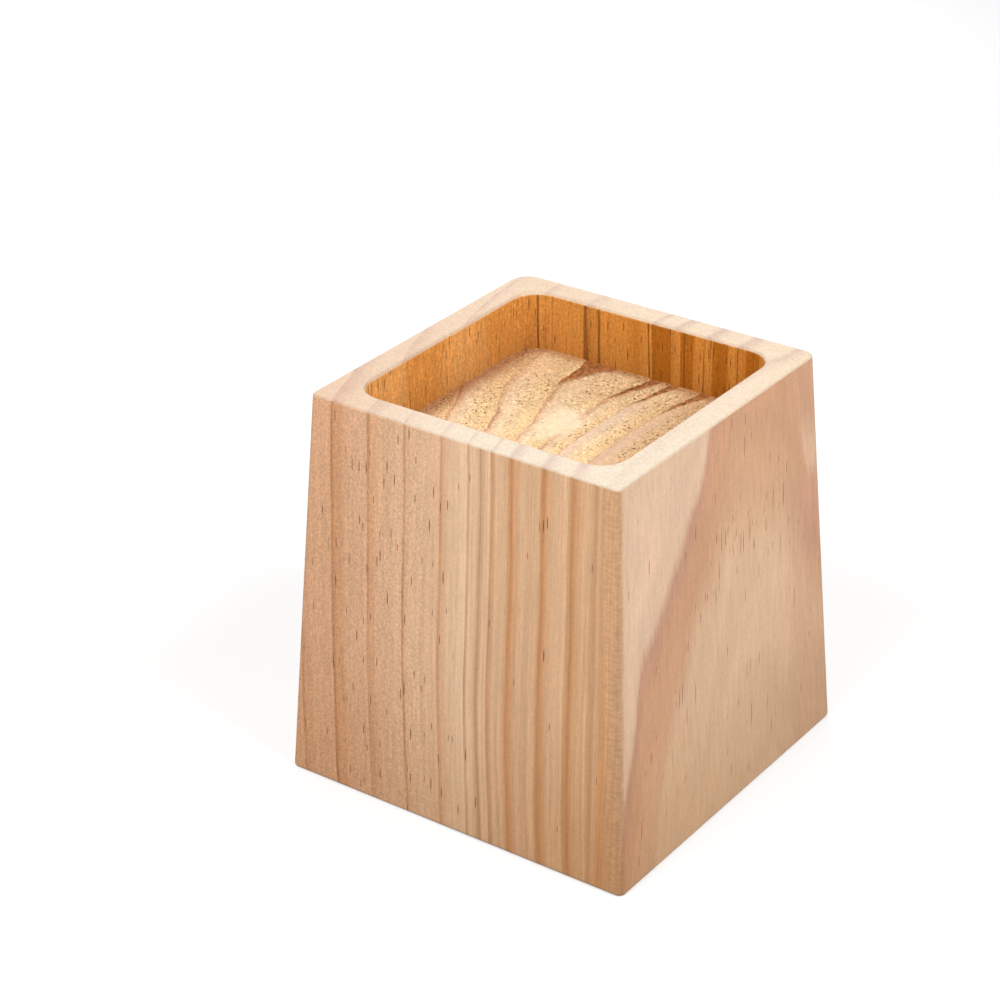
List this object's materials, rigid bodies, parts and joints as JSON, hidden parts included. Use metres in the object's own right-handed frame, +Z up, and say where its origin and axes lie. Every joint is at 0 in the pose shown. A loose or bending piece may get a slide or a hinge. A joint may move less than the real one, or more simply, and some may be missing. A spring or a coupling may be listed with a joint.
{
  "type": "bed riser",
  "caption": "Square wooden bed riser: one tapered pine block, wider at the floor, with a shallow round-cornered recess in its top that holds the foot of a furniture leg.",
  "frame": {"origin": "centre of the face that stands on the floor", "axes": "+Z up through the recess; X and Y square to the four sides"},
  "size_m": [0.0958, 0.0958, 0.1],
  "materials": {
    "pine": "sanded bare wood, satin"
  },
  "bodies": {
    "root": {"riser_block": "pine"}
  },
  "joints": []
}
